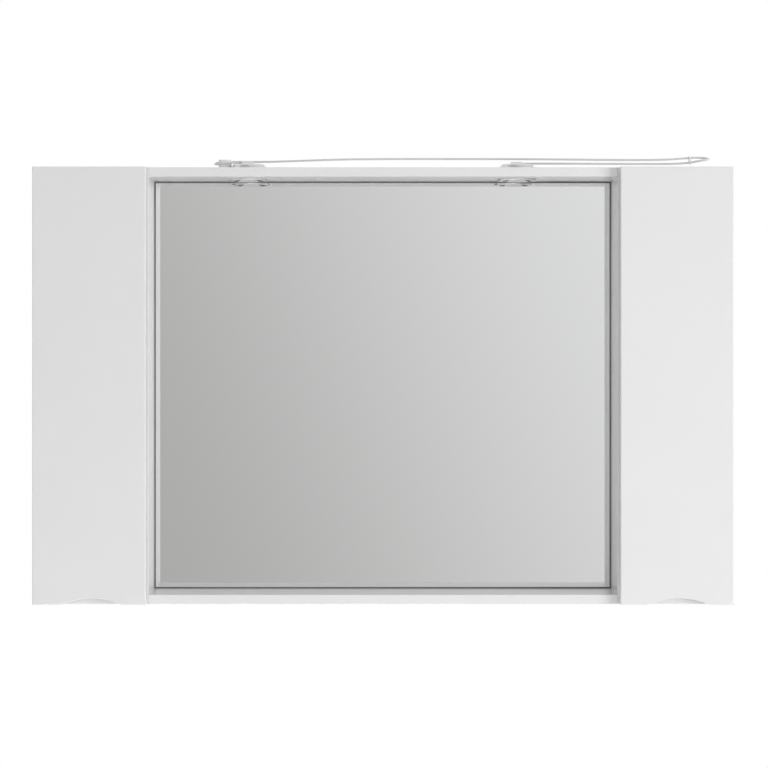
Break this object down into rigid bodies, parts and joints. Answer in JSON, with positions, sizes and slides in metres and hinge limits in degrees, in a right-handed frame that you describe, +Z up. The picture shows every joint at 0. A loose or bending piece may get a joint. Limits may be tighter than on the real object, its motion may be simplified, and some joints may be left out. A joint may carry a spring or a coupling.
{
  "type": "mirror cabinet",
  "caption": "Wall mirror cabinet: a lacquered side cabinet with a door at each end, and between them a recessed mirror under a top panel with small chromed spots.",
  "frame": {"origin": "middle of the back, on the wall, at mid-height", "axes": "+X to the right seen from the front, +Y into the wall, +Z up; the doors face -Y"},
  "size_m": [1.2, 0.162, 0.7764],
  "materials": {
    "lacquer": "smooth white lacquer",
    "mirror": "polished",
    "backboard": "raw board",
    "tape": "foam",
    "shelf_glass": "clear with polished edges",
    "steel": "nickel plated",
    "galvanised": "galvanised",
    "chrome": "polished",
    "aluminium": "spun",
    "lens": "frosted",
    "lamp": "clear",
    "ceramic": "matt",
    "rubber": "translucent",
    "housing": "moulded",
    "terminal": "moulded",
    "lead": "smooth sheath"
  },
  "bodies": {
    "cabinet": {"back_board_left": "lacquer", "back_board_right": "lacquer", "bottom_board_left": "lacquer", "bottom_board_right": "lacquer", "capsule_lamp_left": "lamp", "capsule_lamp_right": "lamp", "hanger_hook_left": "galvanised", "hanger_hook_right": "galvanised", "hanger_left": "housing", "hanger_right": "housing", "hinge_arms_left": "steel", "hinge_arms_right": "steel", "hinge_plates_left": "steel", "hinge_plates_right": "steel", "inner_side_left": "lacquer", "inner_side_right": "lacquer", "lamp_lead": "lead", "lamp_socket_left": "ceramic", "lamp_socket_right": "ceramic", "lead_tie": "terminal", "lower_shelf_left": "shelf_glass", "lower_shelf_right": "shelf_glass", "mirror_backboard": "backboard", "mirror_glass": "mirror", "mirror_tape": "tape", "niche_bottom": "lacquer", "niche_top": "lacquer", "outer_side_left": "lacquer", "outer_side_right": "lacquer", "shelf_pins_left": "steel", "shelf_pins_right": "steel", "spot_can_left": "aluminium", "spot_can_right": "aluminium", "spot_clips_left": "steel", "spot_clips_right": "steel", "spot_lens_left": "lens", "spot_lens_right": "lens", "spot_ring_left": "chrome", "spot_ring_right": "chrome", "terminal_left": "terminal", "terminal_right": "terminal", "top_board_left": "lacquer", "top_board_right": "lacquer", "upper_shelf_left": "shelf_glass", "upper_shelf_right": "shelf_glass", "wall_plate_left": "galvanised", "wall_plate_right": "galvanised"},
    "door_left": {"door_bumpers_left": "rubber", "door_left": "lacquer", "hinge_cups_left": "steel", "hinge_pins_left": "steel"},
    "door_right": {"door_bumpers_right": "rubber", "door_right": "lacquer", "hinge_cups_right": "steel", "hinge_pins_right": "steel"}
  },
  "joints": [
    {"name": "door_left_swing", "type": "hinge", "parent": "cabinet", "child": "door_left", "pos_m": [-0.5928, -0.1532, 0], "axis": [0, 0, -1], "range_deg": [0, 95]},
    {"name": "door_right_swing", "type": "hinge", "parent": "cabinet", "child": "door_right", "pos_m": [0.5928, -0.1532, 0], "axis": [0, 0, 1], "range_deg": [0, 95]}
  ]
}
